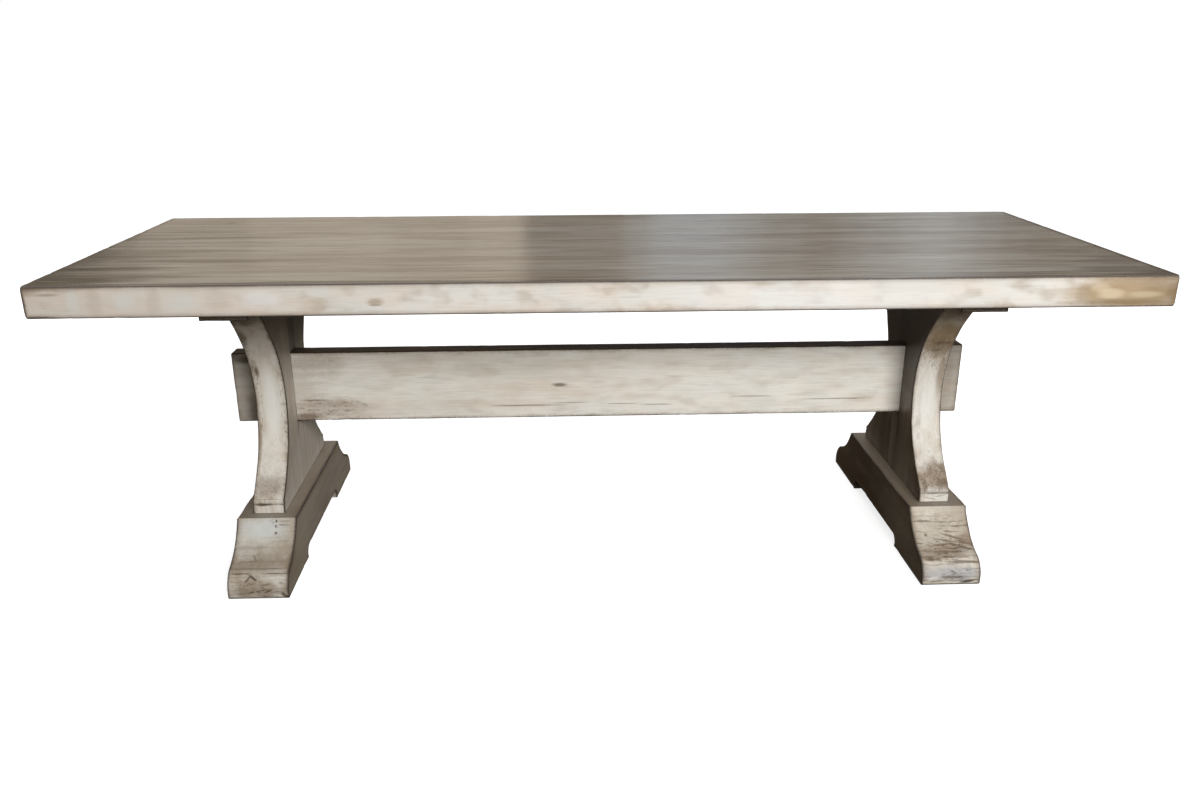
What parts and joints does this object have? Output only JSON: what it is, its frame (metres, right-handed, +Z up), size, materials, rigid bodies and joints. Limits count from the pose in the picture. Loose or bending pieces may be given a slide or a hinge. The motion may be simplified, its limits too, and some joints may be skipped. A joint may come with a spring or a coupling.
{
  "type": "trestle dining table",
  "caption": "Long planked dining table on two hourglass trestles with sled feet, tied by a through stretcher, in a limewashed and glazed finish.",
  "frame": {"origin": "on the floor under the middle of the table", "axes": "+X along the table's length, +Y across it towards the rear, +Z up"},
  "size_m": [2.438, 0.99, 0.762],
  "materials": {
    "top_finish": "grey-brown limewashed and glazed, satin",
    "trestle_finish": "whitewashed with brown glaze in the recesses and rubbed arrises, satin",
    "bare_wood": "unfinished",
    "zinc_steel": "zinc plated",
    "black_steel": "black oxide"
  },
  "bodies": {
    "root": {"top_plank_1": "top_finish", "top_plank_2": "top_finish", "top_plank_3": "top_finish", "top_plank_4": "top_finish", "top_plank_5": "top_finish", "top_plank_6": "top_finish", "plank_tongues": "bare_wood", "stretcher": "trestle_finish", "cleat_left": "trestle_finish", "foot_left": "trestle_finish", "post_front_leaf_left": "trestle_finish", "post_rear_leaf_left": "trestle_finish", "post_lower_core_left": "trestle_finish", "post_upper_core_left": "trestle_finish", "post_dowels_left": "bare_wood", "cleat_right": "trestle_finish", "foot_right": "trestle_finish", "post_front_leaf_right": "trestle_finish", "post_rear_leaf_right": "trestle_finish", "post_lower_core_right": "trestle_finish", "post_upper_core_right": "trestle_finish", "post_dowels_right": "bare_wood", "stretcher_screw_plugs": "trestle_finish", "foot_lag_screws": "zinc_steel", "foot_lag_washers": "zinc_steel", "stretcher_lag_screws": "zinc_steel", "cleat_screws": "zinc_steel", "top_bolts": "black_steel", "top_bolt_washers": "black_steel", "top_threaded_inserts": "zinc_steel"}
  },
  "joints": []
}
